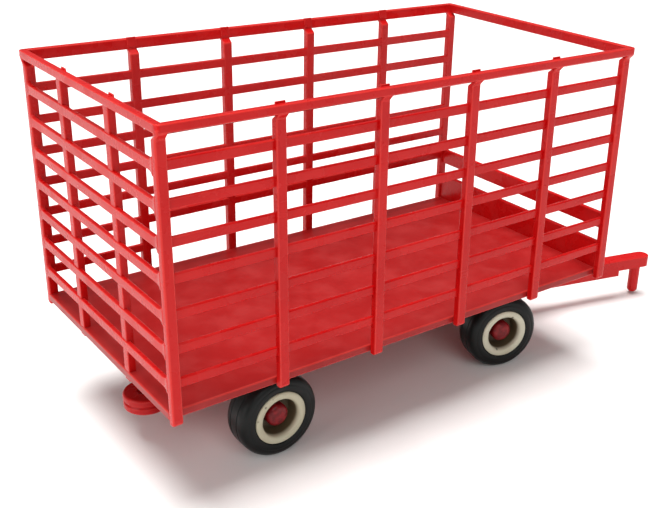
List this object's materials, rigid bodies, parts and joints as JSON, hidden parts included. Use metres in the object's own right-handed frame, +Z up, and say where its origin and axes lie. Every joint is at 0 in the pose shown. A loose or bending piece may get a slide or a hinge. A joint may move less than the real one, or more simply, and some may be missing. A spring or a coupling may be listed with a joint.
{
  "type": "toy stake-sided farm wagon",
  "caption": "Small-scale moulded toy farm wagon with slatted stake sides, open front, steering front gear with drawbar pin, rear hitch eye and free-rolling wheels.",
  "frame": {"origin": "on the ground under the centre of the overall length and width, wheels standing at z = 0", "axes": "+X forwards to the drawbar, +Y to the wagon's left, +Z up"},
  "size_m": [0.0994, 0.0414, 0.0502],
  "materials": {
    "cream_rim": "satin, slightly aged",
    "hub_red": "satin",
    "steel_pin": "drawn",
    "tyre_rubber": "satin smooth",
    "wagon_red": "glossy moulded"
  },
  "bodies": {
    "wagon": {"deck_dowels": "wagon_red", "deck_floor": "wagon_red", "king_pin": "steel_pin", "left_side_rack": "wagon_red", "reach_pole": "wagon_red", "rear_axle": "steel_pin", "rear_axle_block": "wagon_red", "rear_bolster": "wagon_red", "rear_gate_rack": "wagon_red", "rear_hitch_bar": "wagon_red", "rear_left_hub_cap": "hub_red", "rear_right_hub_cap": "hub_red", "right_side_rack": "wagon_red", "front_header_rail": "wagon_red", "front_upper_board": "wagon_red", "front_lip_panel": "wagon_red", "front_bolster": "wagon_red"},
    "front_gear": {"steering_carrier": "wagon_red", "front_axle": "steel_pin", "drawbar": "wagon_red", "hitch_pin": "wagon_red", "front_left_hub_cap": "hub_red", "front_right_hub_cap": "hub_red"},
    "rear_left_wheel": {"rear_left_rim": "cream_rim", "rear_left_tyre": "tyre_rubber"},
    "rear_right_wheel": {"rear_right_rim": "cream_rim", "rear_right_tyre": "tyre_rubber"},
    "front_left_wheel": {"front_left_rim": "cream_rim", "front_left_tyre": "tyre_rubber"},
    "front_right_wheel": {"front_right_rim": "cream_rim", "front_right_tyre": "tyre_rubber"}
  },
  "joints": [
    {"name": "steer", "type": "hinge", "parent": "wagon", "child": "front_gear", "pos_m": [0.01223, 0, 0.0087], "axis": [0, 0, 1], "range_deg": [-31.5, 58.5]},
    {"name": "rear_left_wheel_spin", "type": "hinge", "parent": "wagon", "child": "rear_left_wheel", "pos_m": [-0.03217, 0.0128, 0.0059], "axis": [0, 1, 0], "continuous": true},
    {"name": "rear_right_wheel_spin", "type": "hinge", "parent": "wagon", "child": "rear_right_wheel", "pos_m": [-0.03217, -0.0128, 0.0059], "axis": [0, 1, 0], "continuous": true},
    {"name": "front_left_wheel_spin", "type": "hinge", "parent": "front_gear", "child": "front_left_wheel", "pos_m": [0.01521, 0.01245, 0.0059], "axis": [0.2334, 0.9724, 0], "continuous": true},
    {"name": "front_right_wheel_spin", "type": "hinge", "parent": "front_gear", "child": "front_right_wheel", "pos_m": [0.00924, -0.01245, 0.0059], "axis": [0.2334, 0.9724, 0], "continuous": true}
  ]
}
